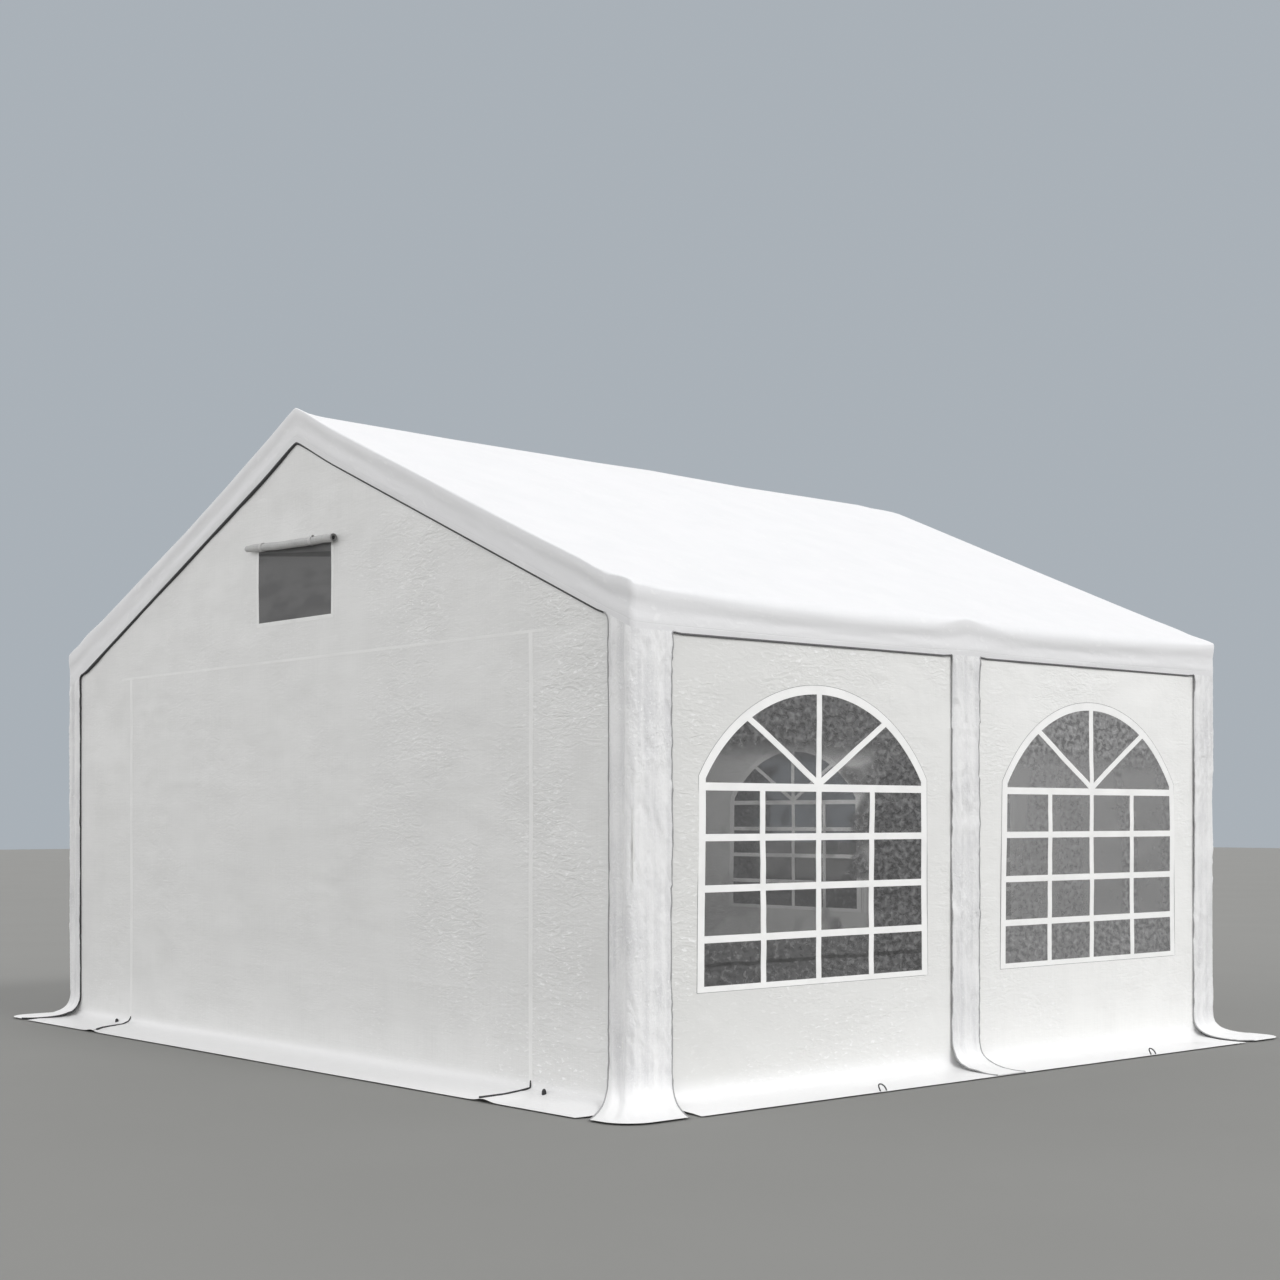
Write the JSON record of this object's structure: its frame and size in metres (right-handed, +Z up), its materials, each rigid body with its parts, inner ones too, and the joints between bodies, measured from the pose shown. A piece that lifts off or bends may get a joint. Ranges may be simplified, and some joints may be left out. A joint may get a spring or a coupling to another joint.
{
  "type": "gabled party tent",
  "caption": "White gabled party tent on a tube frame, with arched film windows, a roll-up door in the front gable and ground skirts.",
  "frame": {"origin": "middle of the tent's floor plan, on the ground", "axes": "+Z up; +Y along the ridge from the front gable to the back one; +X towards the right long wall, seen from the front"},
  "size_m": [5.442, 4.554, 3.1101],
  "materials": {
    "roof_cloth": "coated woven tarpaulin, bright white, soft sheen",
    "wall_cloth": "coated woven tarpaulin, off-white, fine crinkle",
    "strip_cloth": "coated woven tarpaulin, white, upright creases",
    "door_cloth": "coated woven tarpaulin, off-white, zip seams",
    "flap_cloth": "coated woven tarpaulin, rolled",
    "window_film": "smoky soft film, glossy and wavy",
    "vent_mesh": "fine dark insect mesh",
    "steel_tube": "galvanised tube",
    "steel_joint": "galvanised joint, slightly duller"
  },
  "bodies": {
    "root": {"roof_cover": "roof_cloth", "gable_wall_front": "wall_cloth", "gable_wall_back": "wall_cloth", "long_wall_left": "wall_cloth", "long_wall_right": "wall_cloth", "corner_strip_left_front": "strip_cloth", "corner_strip_left_back": "strip_cloth", "corner_strip_right_front": "strip_cloth", "corner_strip_right_back": "strip_cloth", "middle_strip_left": "strip_cloth", "middle_strip_right": "strip_cloth", "door_front": "door_cloth", "vent_flap_front": "flap_cloth", "vent_flap_back": "flap_cloth", "window_film_left_front": "window_film", "window_film_left_back": "window_film", "window_film_right_front": "window_film", "window_film_right_back": "window_film", "window_film_gable_left": "window_film", "window_film_gable_right": "window_film", "vent_mesh_front": "vent_mesh", "vent_mesh_back": "vent_mesh", "post_left_front": "steel_tube", "post_left_middle": "steel_tube", "post_left_back": "steel_tube", "post_right_front": "steel_tube", "post_right_middle": "steel_tube", "post_right_back": "steel_tube", "rafter_left_front": "steel_tube", "rafter_left_middle": "steel_tube", "rafter_left_back": "steel_tube", "rafter_right_front": "steel_tube", "rafter_right_middle": "steel_tube", "rafter_right_back": "steel_tube", "eave_purlin_left_front": "steel_tube", "eave_purlin_left_back": "steel_tube", "eave_purlin_right_front": "steel_tube", "eave_purlin_right_back": "steel_tube", "ridge_purlin_front": "steel_tube", "ridge_purlin_back": "steel_tube", "eave_joint_left_front": "steel_joint", "eave_joint_left_middle": "steel_joint", "eave_joint_left_back": "steel_joint", "eave_joint_right_front": "steel_joint", "eave_joint_right_middle": "steel_joint", "eave_joint_right_back": "steel_joint", "ridge_joint_front": "steel_joint", "ridge_joint_middle": "steel_joint", "ridge_joint_back": "steel_joint"}
  },
  "joints": []
}
